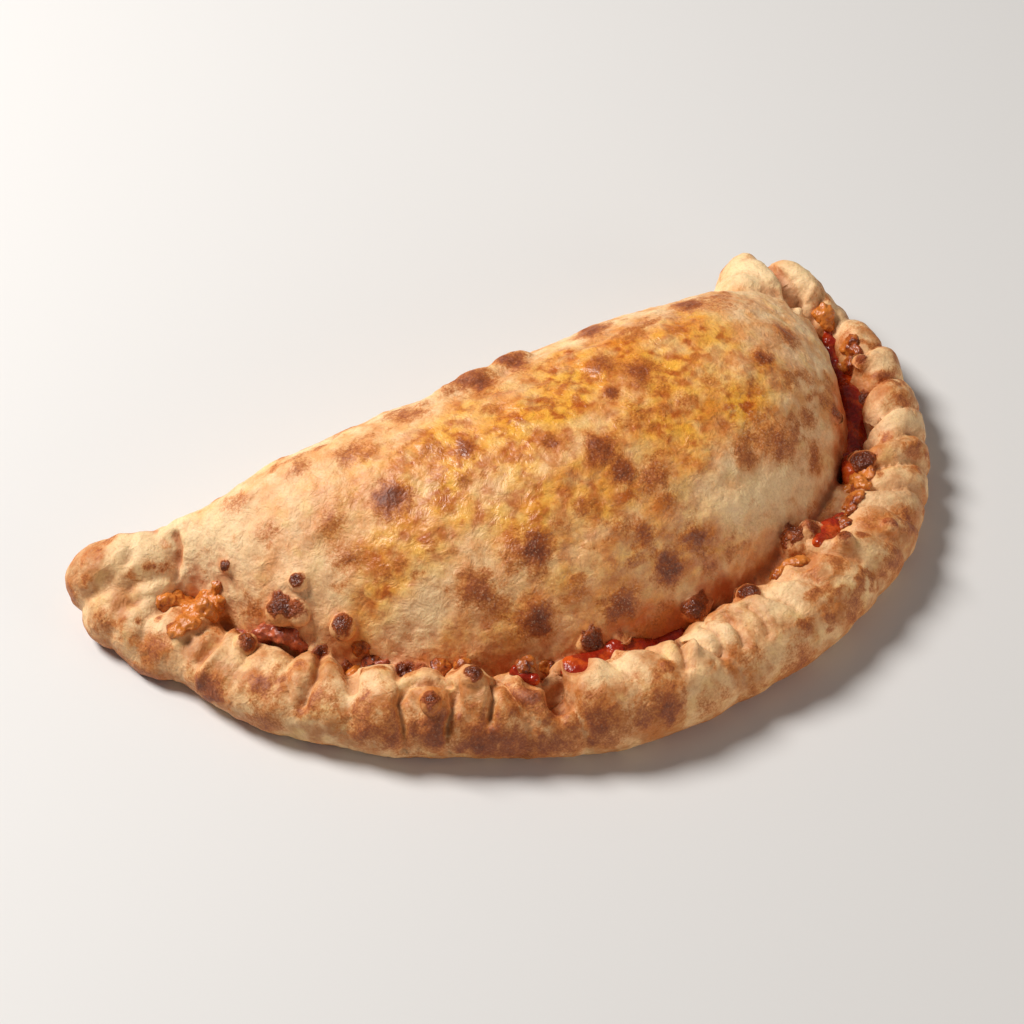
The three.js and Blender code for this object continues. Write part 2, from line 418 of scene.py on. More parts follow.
# ---- Dough: blisters ----
# Gas bubbles that the oven has blown up in the thin dough beside the seam, and burnt on top.
# Each is its place in plan, its radius, and how charred it is.
BLISTERS = [
    (-104, 38, 1.8, 1.0), (-88, 18, 2.3, 1.0), (-95, 17, 4.0, 0.9), (-91, 13, 3.0, 0.6),
    (-81, 1, 3.5, 0.9), (-89, 3, 2.8, 0.9), (-84, -4, 2.3, 0.7), (-70, -16, 3.3, 1.0),
    (-110, 15, 2.7, 0.9), (-110, 37, 3.6, 0.5), (-114, 36, 2.6, 0.4), (-58, -39, 2.8, 0.9),
    (-73, -39, 2.6, 0.8), (-17, -42, 3.4, 0.9), (19, -46, 3.7, 0.9), (23, -45, 2.6, 0.5),
    (37, -52, 3.8, 1.0), (63, -41, 4.8, 1.0), (69, -42, 3.4, 0.5), (74, -43, 2.6, 0.5),
    (105, -22, 4.4, 1.0), (125, 6, 2.9, 0.9), (131, 15, 2.8, 0.5), (98, -31, 3.4, 0.5),
    (73, -53, 2.4, 0.4), (91, -53, 2.4, 0.3), (130, 27, 2.4, 0.4), (-61, -22, 2.2, 0.5),
    (-65, -19, 2.0, 0.4), (-41, -42, 2.3, 0.6), (103, -6, 2.2, 0.6), (-7, -44, 2.6, 0.3),
    (-24, -42, 2.6, 0.4),
]

BLISTER_OUT = 0.2  # how far its middle stands out from the dough, in radii
BLISTER_UP = 0.15  # and how far it has risen besides
BLISTER_LONG = 1.1  # its half length, in radii
ABOVE_ALL = 200  # the height from which a surface is looked down on

base_vertices, base_faces = joined(dough_sources)
base_surface = BVHTree.FromPolygons([Vector(v) for v in base_vertices], base_faces)


def top_of(surface, x, y):
    """The highest place of a surface at x, y, and the way that it faces there."""
    hit, normal, _, _ = surface.ray_cast(Vector((x, y, ABOVE_ALL)), Vector((0, 0, -1)))
    return np.array(hit), np.array(normal) * np.sign(normal.z)


blister_tops = []
blister_feet = []
for number, (x, y, radius, _) in enumerate(BLISTERS):
    foot, normal = top_of(base_surface, x, y)
    place = foot + normal * radius * BLISTER_OUT + np.array([0, 0, radius * BLISTER_UP])
    blister_tops.append(place + normal * radius * BLISTER_OUT)
    blister_feet.append(foot)
    half = (radius * BLISTER_LONG, radius, radius)
    heading = 35 + 50 * math.sin(2.3 * number)
    dough_sources.append(tube(lump_rings(place, half, heading, stations=14, around=16)))

# Long bubbles along the fold at the back: their place in plan, half length and height.
FOLD_BUBBLES = [(-9, 50, 19, 1.7), (10, 53, 10, 1.4)]
BUBBLE_HALF_WIDTH = 5
for x, y, length, height in FOLD_BUBBLES:
    foot, _ = top_of(base_surface, x, y)
    half = (length, BUBBLE_HALF_WIDTH, height)
    dough_sources.append(tube(lump_rings(foot, half, heading=5, stations=18, around=20)))


def grown_together(name, sources, voxel, smoothing):
    """The union of closed forms as one even mesh, with its inner corners softened."""
    vertices, faces = joined(sources)
    mesh = bpy.data.meshes.new(name)
    mesh.from_pydata((vertices * MM).tolist(), [], faces)
    rough = bpy.data.objects.new(name, mesh)
    bpy.context.scene.collection.objects.link(rough)
    remesh = rough.modifiers.new("one skin", "REMESH")
    remesh.mode = "VOXEL"
    remesh.voxel_size = voxel * MM
    relax = rough.modifiers.new("soften", "SMOOTH")
    relax.factor = 0.5
    relax.iterations = smoothing
    seen = rough.evaluated_get(bpy.context.evaluated_depsgraph_get())
    whole = bpy.data.meshes.new_from_object(seen)
    bpy.data.objects.remove(rough)
    bpy.data.meshes.remove(mesh)
    return whole


def vertex_places(mesh):
    """Where its vertices lie, in millimetres."""
    flat = np.empty(len(mesh.vertices) * 3, np.float32)
    mesh.vertices.foreach_get("co", flat)
    return flat.reshape(-1, 3).astype(float) / MM


def vertex_normals(mesh):
    """The way that the skin faces at each vertex."""
    flat = np.empty(len(mesh.vertices) * 3, np.float32)
    mesh.vertex_normals.foreach_get("vector", flat)
    return flat.reshape(-1, 3).astype(float)


def move_vertices(mesh, places):
    """Moves its vertices to places in millimetres."""
    mesh.vertices.foreach_set("co", (places * MM).astype(np.float32).ravel())
    mesh.update()


def neighbour_mean(values, edges, passes):
    """values, averaged with their neighbours along the edges that many times."""
    count = np.bincount(edges.ravel(), minlength=len(values))[:, None]
    for _ in range(passes):
        total = np.zeros_like(values)
        for column in range(values.shape[1]):
            total[:, column] += np.bincount(edges[:, 0], values[edges[:, 1], column], len(values))
            total[:, column] += np.bincount(edges[:, 1], values[edges[:, 0], column], len(values))
        values = 0.5 * values + 0.5 * total / np.maximum(count, 1)
    return values


dough_mesh = grown_together("dough", dough_sources, voxel=0.9, smoothing=2)

# ---- Dough: relief ----
# The baked skin sags between bubbles, is stretched into fine wrinkles, and is creased where
# the ends are tucked in and the pleats are pinched. The seam opens here and there.

# Each pool in the seam is its place in plan, its radius and its depth.
POOLS = [
    (134, 40, 5, 2), (131, 30, 5.5, 2.5), (129, 20, 6, 3), (125, 11, 6, 3), (120, 3, 7, 3.5),
    (115, -4, 7.5, 4), (109, -11, 7.5, 4), (103, -19, 6.5, 3), (97, -27, 5, 2.5),
    (80, -41, 6, 3.5), (73, -44, 5.5, 4.5), (58, -51, 5, 3), (50, -49, 6, 2), (41, -49, 5.5, 2.5),
    (32, -49, 5.5, 3.5), (25, -48, 4.5, 3.5), (10, -49, 5, 3.5), (3, -49, 6, 4), (-6, -48, 6, 4),
    (-16, -47, 4.5, 3.5), (-27, -50, 5, 5), (-34, -53, 4.5, 6), (-38, -57, 4, 8),
    (-41, -48, 4, 4), (-45, -35, 4, 2.5), (-60, -29, 4, 2), (-70, -20, 4, 1.5),
    (-78, -11, 4.5, 1.5), (-84, -5, 4.5, 1), (-95, 9, 5, 1), (-104, 20, 5, 1),
]
# Creases as lines in plan with their depth and half width. A negative depth is a raised lip.
CREASE_LINES = [
    ([(-112, 58), (-113, 54), (-117, 49)], 2.2, 1.4),
    ([(-127, 60), (-131, 58), (-136, 57), (-141, 58)], 1.0, 2.0),
    ([(-117, 46), (-122, 45), (-127, 46), (-132, 48)], 1.2, 1.7),
    ([(-125, 43), (-131, 42), (-136, 36)], 1.3, 1.8),
    ([(-126, 29), (-120, 29), (-113, 33)], -1.3, 1.8),
    ([(-124, 18), (-117, 20), (-110, 27)], 2.8, 2.2),
    ([(-126, 14), (-119, 16), (-111, 22)], -1.4, 1.6),
    ([(-90, 1), (-97, -9), (-105, -15)], 3.2, 1.7),
    ([(-94, -2), (-99, -9)], -1.0, 1.2),
    ([(-85, -11), (-90, -20)], 2.0, 1.6),
    ([(-65, -35), (-70, -32), (-76, -29), (-81, -33), (-83, -39)], 3.0, 1.5),
    ([(-64, -38), (-68, -44), (-72, -47)], 3.0, 1.5),
    ([(-52, -42), (-56, -48), (-60, -52)], 3.0, 1.5),
    ([(-50, -40), (-48, -50), (-45, -60)], -1.5, 2.2),
    ([(-33, -44), (-37, -52), (-40, -60)], 5.5, 2.6),
    ([(10, -52), (9, -59), (6, -66)], -2.0, 1.5),
    ([(7, -54), (5, -61), (1, -68)], 3.0, 1.8),
    ([(16, -55), (17, -62), (15, -68)], 2.0, 1.4),
    ([(24, -55), (24, -64), (22, -70)], 2.2, 1.4),
    ([(31, -58), (32, -65), (31, -70)], 2.2, 1.4),
    ([(128, 74), (127, 63), (127, 53), (124, 44)], 5.5, 2.0),
    ([(127, 46), (131, 48), (136, 50)], -1.6, 1.6),
    ([(122, 41), (130, 43), (137, 46)], 2.6, 1.6),
]


def line_distance(points, line):
    """How far points are in plan from a run of straight lines."""
    nearest = np.full(len(points), 1e9)
    for start, end in zip(line, line[1:]):
        start, step = np.array(start, float), np.subtract(end, start).astype(float)
        along = np.clip(((points[:, :2] - start) @ step) / (step @ step), 0, 1)
        away = points[:, :2] - start - along[:, None] * step
        nearest = np.minimum(nearest, np.hypot(away[:, 0], away[:, 1]))
    return nearest


def pool_depth(points, spread=1.0):
    """How far the seam has sunk at each point, with each pool's radius times spread."""
    depth = np.zeros(len(points))
    for x, y, radius, deep in POOLS:
        away = np.hypot(points[:, 0] - x, points[:, 1] - y) / (radius * spread)
        depth = np.maximum(depth, deep * np.exp(-(away**4)))
    return depth


# Toasted spots on the belly: their place in plan, their radius and how dark they are.
TOASTED = [
    (-53, 19, 7.5, 1.0), (-25, 21, 5.5, 0.85), (-1, 9, 6, 0.9), (-32, 11, 3.5, 0.6),
    (-41, 7, 3.5, 0.45), (-74, 13, 7, 0.6), (-72, 24, 6, 0.5), (-65, 3, 5, 0.5),
    (-23, -17, 8, 0.95), (-43, -17, 8, 0.8), (-31, -31, 8, 0.9), (-55, 42, 7, 0.6),
    (-5, 50, 10, 0.95), (12, 51, 8, 0.9), (-93, 52, 6, 0.5), (-90, 36, 6, 0.45),
    (12, 0, 7.5, 0.85), (15, -9, 6.5, 0.85), (-2, -14, 5.5, 0.65), (15, -37, 6.5, 1.0),
    (28, -33, 7, 0.85), (11, -28, 5.5, 0.7), (-4, -40, 7.5, 0.8), (84, 11, 4.5, 0.9),
    (100, 21, 6, 0.75), (85, 40, 8, 0.5), (28, 18, 4, 0.9), (40, 22, 9, 0.75), (32, 30, 7, 0.65),
    (72, -17, 9, 0.6), (90, -9, 5, 0.7), (57, -18, 6, 0.55), (49, 4, 5.5, 0.55),
    (23, -15, 8, 0.6), (-12, -15, 5, 0.45), (-39, -23, 5.5, 0.5), (60, 8, 4, 0.5),
    (72, 2, 4, 0.5), (98, 3, 6, 0.4), (24, -22, 6, 0.5), (6, -24, 6, 0.5), (-15, -32, 5, 0.45),
    (28, -40, 6, 0.5), (85, -20, 6, 0.6), (30, 10, 4, 0.5), (45, 14, 6, 0.5), (43, 52, 8, 0.85),
    (78, 46, 8, 0.8), (-70, 48, 6, 0.5), (-30, 50, 8, 0.6), (104, -4, 4, 0.7),
]

places = vertex_places(dough_mesh)
normals = vertex_normals(dough_mesh)
swell = 0.9 * lumpy_noise(places, 38, seed=3) + 0.55 * lumpy_noise(places, 15, seed=11)
ripple = 0.3 * lumpy_noise(places, 6.5, seed=21)
ripple += 0.15 * lumpy_noise(places, 2.6, seed=31, octaves=2)
raised = np.zeros(len(places))
for x, y, radius, weight in TOASTED:
    away = np.linalg.norm(places - top_of(base_surface, x, y)[0], axis=1) / radius
    raised = np.maximum(raised, 0.1 * radius * weight * np.exp(-(away**2) * 1.6))
for (_, _, radius, scorch), top, foot in zip(BLISTERS, blister_tops, blister_feet):
    away = np.linalg.norm(places - top, axis=1) / radius
    raised += 0.6 * scorch * np.exp(-(away**4)) * lattice_noise(places, 1.9, seed=71)
    around = np.linalg.norm(places - foot, axis=1) / (1.6 * radius)
    raised += 0.35 * radius * np.exp(-(around**2))
CREASE_FLOOR = 7  # nothing below this is creased
for line, depth, half_width in CREASE_LINES:
    away = line_distance(places, line) / half_width
    raised -= depth * np.exp(-(away**2)) * (places[:, 2] > CREASE_FLOOR)
FLAT_BELOW = 0.5  # what lies lower than this becomes the flat underside
moved = places + normals * (swell + ripple + raised)[:, None]
facing_up = ease(normals[:, 2], -0.2, 0.3) * ease(places[:, 2], 5, 10)
moved[:, 2] -= pool_depth(places) * facing_up
moved[:, 2] = np.maximum(moved[:, 2], 0)
moved[:, 2] = np.where(places[:, 2] < FLAT_BELOW, 0, moved[:, 2])
move_vertices(dough_mesh, moved)

edge_ends = np.empty(len(dough_mesh.edges) * 2, np.int32)
dough_mesh.edges.foreach_get("vertices", edge_ends)
edge_ends = edge_ends.reshape(-1, 2)
places = vertex_places(dough_mesh)
normals = vertex_normals(dough_mesh)
# How far each place lies below its surroundings, in millimetres.
hollow = ((neighbour_mean(places, edge_ends, passes=12) - places) * normals).sum(1)

# ---- Dough: browning ----
# The oven scorches the dough where it stands proud and leaves it pale in the folds. These
# masks say how far each place has gone, and the material turns them into colour. The fold
# mask is painted shade in the hollows, the pale mask is partly painted light, and the dark
# browning low on the rope is partly painted shade.

# Toasted spots on the rope and the ends: x, y, z, radius and how dark they are.
TOASTED_ROPE = [
    (-135, 32, 15, 7, 0.6), (-127, 10, 12, 7.5, 0.85), (-112, -3, 19, 6, 0.75),
    (-114, -8, 10, 7, 0.6), (-91, -31, 15, 9, 0.6), (-30, -68, 17, 9, 0.75),
    (-12, -72, 17, 9, 0.85), (-64, -53, 14, 10, 0.85), (-76, -44, 16, 9, 0.8),
    (-138, 73, 18, 5, 0.45), (-146, 66, 14, 5, 0.5), (-131, 73, 20, 5, 0.3),
    (-47, -52, 22, 7, 0.9), (-41, -60, 16, 6, 0.7), (20, -72, 20, 7, 0.45), (38, -76, 12, 9, 0.6),
    (62, -70, 14, 7, 0.6), (66, -58, 22, 5, 0.6), (88, -60, 14, 8, 0.6), (101, -51, 17, 7, 0.65),
    (120, -30, 19, 6, 0.55), (133, -8, 19, 6, 0.55), (139, 11, 18, 5, 0.5),
    (141, 30, 16, 6, 0.45), (138, 51, 22, 5, 0.45), (-98, -19, 18, 5, 0.5), (87, -49, 22, 5, 0.5),
    (-121, 39, 17, 5, 0.5), (57, -59, 22, 5, 0.6), (5, -76, 14, 7, 0.45), (116, 70, 24, 5, 0.4),
    (-143, 48, 12, 7, 0.4), (128, -24, 12, 6, 0.6), (112, -42, 10, 6, 0.6), (20, -79, 8, 6, 0.5),
    (-56, -60, 11, 10, 0.75), (-44, -64, 12, 9, 0.7), (-84, -36, 14, 8, 0.65),
]
# Zones of the skin, as soft ovals in plan: (x, y, half length, half width, weight).
OILED = [
    (25, 26, 62, 24, 1.0), (-30, 24, 38, 24, 0.9), (40, 4, 50, 20, 1.0), (0, -8, 52, 18, 0.9),
    (-52, 4, 30, 16, 0.9), (66, 22, 28, 20, 0.85), (-8, 10, 30, 20, 0.9), (-70, -2, 14, 9, 0.6),
    (20, -32, 60, 10, 0.6), (-30, -30, 44, 12, 0.6), (-56, -20, 14, 8, 0.5),
]
BLUSHED = [
    (-76, 24, 26, 18, 0.9), (-90, 46, 22, 12, 0.6), (72, -14, 26, 17, 1.0), (92, 14, 18, 22, 0.8),
    (-34, -24, 24, 12, 0.8), (88, 42, 22, 10, 0.8), (-10, -36, 26, 9, 0.6),
    (-55, 36, 22, 14, 0.5), (20, -18, 26, 14, 0.5),
]
# Pale zones: partly the dough's own paler tone at the tucked knob, the horn and the front lobes of the
# rope, and partly painted light that lifts faces turned from the window, on the right of the rope and the
# front right of the belly.
PALE_AND_LIT = [
    (-112, 50, 18, 14, 1.0), (-100, 40, 12, 12, 0.6), (-64, -12, 22, 7, 0.9),
    (118, 62, 16, 14, 1.0), (133, 55, 12, 14, 1.0), (-121, 60, 12, 9, 1.0), (86, -32, 12, 8, 0.4),
    (-84, 12, 12, 8, 0.6), (16, -62, 11, 8, 0.9), (-17, -56, 12, 8, 0.7), (58, -29, 26, 9, 1.0),
    (46, -60, 12, 7, 0.7), (-88, -20, 9, 8, 0.7), (-128, 42, 9, 10, 0.6), (126, -13, 12, 9, 0.7),
    (136, 14, 8, 14, 0.6), (139, 38, 7, 12, 0.7), (100, -40, 14, 7, 0.5), (-35, -36, 12, 4, 0.6),
]


def zone_mask(zones, points, wobble):
    """How far each point lies in any of the soft ovals."""
    mask = np.zeros(len(points))
    for x, y, half_x, half_y, weight in zones:
        away = np.hypot((points[:, 0] - x) / half_x, (points[:, 1] - y) / half_y)
        mask = np.maximum(mask, weight * (1 - ease(away + wobble, 0.35, 1.3)))
    return mask


def spot_mask(centre, radius, points, wobble):
    """A soft round spot, 1 in its middle, with an uneven edge."""
    away = np.linalg.norm(points - centre, axis=1) / radius
    return np.exp(-1.35 * np.clip(away + wobble, 0, None) ** 2)


ragged = 0.3 * lumpy_noise(places, 5, seed=41)
ragged += 0.14 * lumpy_noise(places, 1.9, seed=43, octaves=2)
drifting = 0.35 * lumpy_noise(places, 16, seed=47)

# How far each place is from the rope's middle line, positive on the side of the filling.
FILLING_Y = 60  # a place well inside the belly, which tells the rope's inner side
rope_turns = np.linspace(-0.04, 1.03, 260)
rope_x, rope_y = outline_point(rope_turns, rope_inset(rope_turns) + rope_width(rope_turns) / 2)
nearest = np.full(len(places), 1e9)
nearest_turn = np.zeros(len(places))
inward = np.zeros(len(places))
for x, y, turn in zip(rope_x, rope_y, rope_turns):
    step_x, step_y = places[:, 0] - x, places[:, 1] - y
    away = np.hypot(step_x, step_y)
    closer = away < nearest
    nearest[closer] = away[closer]
    nearest_turn[closer] = turn
    inward[closer] = (step_x * (ROPE_MIDDLE_X - x) + step_y * (FILLING_Y - y))[closer]
half_width = rope_width(nearest_turn) / 2
across_rope = nearest * np.sign(inward)
on_rope = 1 - ease(across_rope, half_width - 2, half_width + 2)
beyond = across_rope - half_width
seam_reach = np.where(beyond > 0, 7 + 3 * ease(nearest_turn, 0.7, 0.9), 2.5)
seam = np.exp(-((beyond / seam_reach) ** 2))

toast = np.zeros(len(places))
for x, y, radius, weight in TOASTED:
    centre = top_of(base_surface, x, y)[0]
    toast = np.maximum(toast, weight * spot_mask(centre, radius, places, ragged))
for x, y, z, radius, weight in TOASTED_ROPE:
    centre = np.array([x, y, z])
    toast = np.maximum(toast, weight * spot_mask(centre, 1.15 * radius, places, ragged))
drawn = places * [0.5, 1, 1]  # so that the freckles are drawn out along X
freckles = lumpy_noise(drawn, 7, seed=53) + 0.5 * lumpy_noise(places, 3.5, seed=59, octaves=2)
freckles = ease(freckles, 0.15, 1.2)
toast = np.maximum(toast, (0.45 + 0.1 * on_rope) * freckles * ease(places[:, 2], 4, 14))
# Low on the rope, near the table, the dough is browned darker: partly real browning, partly painted shade
# where the rope's front falls into shade.
low_rope = (1 - ease(places[:, 2], 2, 13)) * on_rope
toast = np.maximum(toast, low_rope * ease(lumpy_noise(places, 12, seed=61), -0.7, 0.8) * 0.55)
proud = ease(-hollow, 0.03, 0.3)
toast = np.clip(toast + 0.14 * proud * on_rope, 0, 1)
toast = toast * (1 - 0.6 * ease(hollow, 0.05, 0.35))

CHAR_UP = 0.35  # how far above a blister's top its char is centred, in radii
char = np.zeros(len(places))
blister_glow = np.zeros(len(places))
for centre, (_, _, radius, weight) in zip(blister_tops, BLISTERS):
    above = centre + np.array([0, 0, radius * CHAR_UP])
    away = np.linalg.norm(places - above, axis=1) / radius
    char = np.maximum(char, (0.25 + 0.75 * weight) * (1 - ease(away + 1.1 * ragged, 0.6, 1.5)))
    blister_glow = np.maximum(blister_glow, spot_mask(centre, radius * 1.8, places, ragged))

oil = zone_mask(OILED, places, drifting) * (1 - on_rope)
blush = zone_mask(BLUSHED, places, drifting)
# Partly the dough's own pale tone, partly painted light on shaded faces.
pale_and_lit = zone_mask(PALE_AND_LIT, places, drifting)
toast = toast * (1 - 0.5 * pale_and_lit * (toast < 0.6))
above_table = ease(places[:, 2], 4, 9)
sauced = ease(pool_depth(places, 1.25), 0.3, 2.5) * above_table * (1 - 0.75 * on_rope)
stain = np.clip(0.75 * seam * above_table * ease(hollow, -0.1, 0.15) + sauced, 0, 1)
# The fold mask is painted shade: it darkens the hollows and creases, where shade falls.
fold = ease(hollow, 0.06, 0.5)
masks = {
    "toast": toast,
    "char": char,
    "blister": blister_glow,
    "oil": oil,
    "blush": blush,
    "pale_and_lit": pale_and_lit,
    "stain": stain,
    "fold": fold,
    "rope": on_rope,
}


def store_masks(mesh, masks):
    """Keeps masks on the mesh under their names, for its material to read."""
    for name, mask in masks.items():
        attribute = mesh.attributes.new(name, "FLOAT", "POINT")
        attribute.data.foreach_set("value", np.clip(mask, 0, 1).astype(np.float32))


store_masks(dough_mesh, masks)

# ---- Effects that the dough, the cheese and the sauce share ----
# Browning takes a base colour through tan and brown to burnt, in grains rather than in a
# smooth blend. Bubbled skin is the fine pitted relief of anything baked.


def linear(*display_values):
    """A colour given in 0 to 255 display values, as the linear values that shaders take."""
    channels = []
    for value in display_values:
        share = value / 255
        channels.append(((share + 0.055) / 1.055) ** 2.4 if share > 0.04 else share / 12.92)
    return (*channels, 1)


class Nodes:
    """Short ways to add and join the nodes of one tree."""

    def __init__(self, tree):
        self.tree = tree

    def add(self, kind, inputs=(), **settings):
        node = self.tree.nodes.new(kind)
        for name, value in settings.items():
            setattr(node, name, value)
        for socket, value in dict(inputs).items():
            self.join(value, node.inputs[socket])
        return node

    def join(self, value, socket):
        if isinstance(value, bpy.types.NodeSocket):
            self.tree.links.new(value, socket)
        else:
            socket.default_value = value

    def math(self, operation, first, second=0.0):
        inputs = {0: first, 1: second}
        return self.add("ShaderNodeMath", inputs, operation=operation).outputs[0]

    def times(self, first, second):
        return self.math("MULTIPLY", first, second)

    def step(self, value, low, high, start=0.0, end=1.0):
        """start below low, end above high, and a smooth change between them."""
        inputs = {0: value, 1: low, 2: high, 3: start, 4: end}
        return self.add("ShaderNodeMapRange", inputs, interpolation_type="SMOOTHSTEP").outputs[0]

    def mix(self, share, first, second):
        node = self.add("ShaderNodeMix", data_type="RGBA", clamp_factor=True)
        self.join(share, node.inputs[0])
        self.join(first, node.inputs[6])
        self.join(second, node.inputs[7])
        return node.outputs[2]

    def noise(self, size_mm, detail=3.0, rough=0.55, distortion=0.0):
        """Noise from 0 to 1 about 0.5, whose lumps are about size_mm across."""
        inputs = {
            "Vector": self.add("ShaderNodeTexCoord").outputs["Object"],
            "Scale": 1 / (size_mm * MM),
            "Detail": detail,
            "Roughness": rough,
            "Distortion": distortion,
        }
        return self.add("ShaderNodeTexNoise", inputs).outputs[0]

    def attribute(self, name):
        return self.add("ShaderNodeAttribute", attribute_name=name).outputs["Fac"]

    def bump(self, height, distance_mm, strength=1.0, under=None):
        inputs = {"Height": height, "Distance": distance_mm * MM, "Strength": strength}
        node = self.add("ShaderNodeBump", inputs)
        if under is not None:
            self.join(under, node.inputs["Normal"])
        return node.outputs[0]


def node_group(name, inputs, outputs):
    """A shader node group, and its nodes, its inputs by name and its outputs by name."""
    group = bpy.data.node_groups.new(name, "ShaderNodeTree")
    for label, (kind, default) in inputs.items():
        socket = group.interface.new_socket(label, in_out="INPUT", socket_type="NodeSocket" + kind)
        socket.default_value = default
    for label, kind in outputs.items():
        group.interface.new_socket(label, in_out="OUTPUT", socket_type="NodeSocket" + kind)
    nodes = Nodes(group)
    given = nodes.add("NodeGroupInput").outputs
    result = nodes.add("NodeGroupOutput").inputs
    return group, nodes, given, result


GOLD_BROWN = linear(206, 120, 44)
WARM_BROWN = linear(154, 74, 28)
DARK_BROWN = linear(98, 42, 22)
SCORCHED = linear(172, 80, 26)
BURNT = linear(92, 36, 19)

browning, oven, given, result = node_group(
    "oven browning",
    {
        "Base": ("Color", (0.8, 0.5, 0.2, 1)),
        "Toast": ("Float", 0.0),
        "Char": ("Float", 0.0),
        "Grain": ("Float", 0.6),
    },
    {"Colour": "Color", "Burnt": "Float"},
)
coarse_grain = oven.noise(2.4, 4, 0.62)
fine_grain = oven.noise(0.7, 3, 0.6)
grain = oven.math("ADD", oven.times(coarse_grain, 0.4), oven.times(fine_grain, 0.6))
grain = oven.times(oven.math("SUBTRACT", grain, 0.5), given["Grain"])
gone = oven.times(oven.times(grain, 2.0), oven.step(given["Toast"], 0.02, 0.35))
gone = oven.math("ADD", given["Toast"], gone)
tanned = oven.mix(oven.step(gone, 0.05, 0.5, 0, 0.85), given["Base"], GOLD_BROWN)
browned = oven.mix(oven.step(gone, 0.3, 0.78, 0, 0.92), tanned, WARM_BROWN)
darkened = oven.mix(oven.step(gone, 0.65, 1.15, 0, 0.9), browned, DARK_BROWN)
burning = oven.math("ADD", given["Char"], oven.times(grain, 1.2))
scorched = oven.mix(oven.step(burning, 0.12, 0.5), darkened, SCORCHED)
blackened = oven.mix(oven.step(burning, 0.42, 0.98, 0, 0.95), scorched, BURNT)
oven.join(blackened, result["Colour"])
oven.join(oven.step(burning, 0.3, 0.7), result["Burnt"])

bubbled, skin, given, result = node_group(
    "bubbled skin",
    {"Size": ("Float", 1.0), "Pitting": ("Float", 0.5)},
    {"Height": "Float"},
)
object_place = skin.add("ShaderNodeTexCoord").outputs["Object"]
sized = skin.add("ShaderNodeVectorMath", {0: object_place}, operation="SCALE")
skin.join(skin.math("DIVIDE", 1000.0, given["Size"]), sized.inputs["Scale"])
wrinkling = {"Vector": sized.outputs[0], "Scale": 0.5, "Detail": 5.0, "Roughness": 0.6}
wrinkles = skin.add("ShaderNodeTexNoise", wrinkling)
pitting = {"Vector": sized.outputs[0], "Scale": 0.9}
pits = skin.add("ShaderNodeTexVoronoi", pitting, feature="SMOOTH_F1")
pit_height = skin.times(skin.step(pits.outputs["Distance"], 0.0, 0.7), given["Pitting"])
skin.join(skin.math("ADD", wrinkles.outputs[0], pit_height), result["Height"])

# ---- Dough: finish ----
# Flour, water and olive oil, baked: cream in the folds, gold where the oil has soaked in,
# tan to dark brown where it has caught, and floury and dull on the rope. The hollows are
# painted browner as painted shade, and some pale zones are painted light on shaded faces.
CREAM = linear(255, 218, 166)
PEACH = linear(234, 164, 96)
ROPE_CREAM = linear(248, 204, 148)
ROPE_TAN = linear(198, 130, 74)
BLUSH = linear(238, 172, 120)
OIL_GOLD = linear(252, 182, 58)
OIL_AMBER = linear(232, 136, 26)
OIL_CAUGHT = linear(176, 76, 14)
STRAW = linear(248, 208, 134)
# Pale cream: partly the dough's own tone, partly painted light on shaded faces.
PALE_AND_LIT_CREAM = linear(254, 221, 170)
BLISTER_TAN = linear(218, 130, 46)
SAUCE_STAIN = linear(198, 92, 30)
# A painted shade colour for the hollows and creases.
CREASE_SHADE_BROWN = linear(178, 104, 52)
FLOUR = linear(240, 200, 164)
SPECK_BROWN = linear(160, 84, 34)


def new_material(name):
    """A material, a hand on its nodes, and its shader."""
    material = bpy.data.materials.new(name)
    material.use_nodes = True
    return material, Nodes(material.node_tree), material.node_tree.nodes["Principled BSDF"]


baked_crust, crust, crust_shader = new_material("baked crust")
mottle = crust.noise(9, 4, 0.6)
streak = crust.noise(5, 4, 0.58, distortion=0.3)
speck = crust.noise(0.8, 2, 0.6)
dome_colour = crust.mix(crust.step(mottle, 0.35, 0.68), CREAM, PEACH)
rope_colour = crust.mix(crust.step(mottle, 0.35, 0.65), ROPE_CREAM, ROPE_TAN)
dough_colour = crust.mix(crust.attribute("rope"), dome_colour, rope_colour)
blushing = crust.times(crust.attribute("blush"), crust.step(crust.noise(6, 5, 0.65), 0.3, 0.65, 0.25, 1.0))
dough_colour = crust.mix(crust.times(blushing, 0.65), dough_colour, BLUSH)
soaked = crust.times(crust.attribute("oil"), crust.step(crust.noise(13, 4, 0.6), 0.25, 0.6, 0.45, 1.0))
oiled_colour = crust.mix(crust.step(crust.noise(10, 4, 0.55), 0.35, 0.65), OIL_GOLD, OIL_AMBER)
dough_colour = crust.mix(crust.times(soaked, 0.95), dough_colour, oiled_colour)
caught = crust.times(soaked, crust.step(streak, 0.44, 0.64, 0, 0.9))
dough_colour = crust.mix(caught, dough_colour, OIL_CAUGHT)
lighter = crust.step(crust.noise(8, 3, 0.55), 0.5, 0.72, 0, 0.5)
dough_colour = crust.mix(lighter, dough_colour, STRAW)
# Pale zones: partly the dough's own pale tone, partly painted light on shaded faces.
dough_colour = crust.mix(crust.times(crust.attribute("pale_and_lit"), 0.85), dough_colour, PALE_AND_LIT_CREAM)
dough_colour = crust.mix(crust.times(crust.attribute("blister"), 0.65), dough_colour, BLISTER_TAN)
staining = crust.times(crust.attribute("stain"), crust.step(crust.noise(8, 3, 0.6), 0.3, 0.6, 0.45, 1.0))
dough_colour = crust.mix(crust.times(staining, 0.9), dough_colour, SAUCE_STAIN)
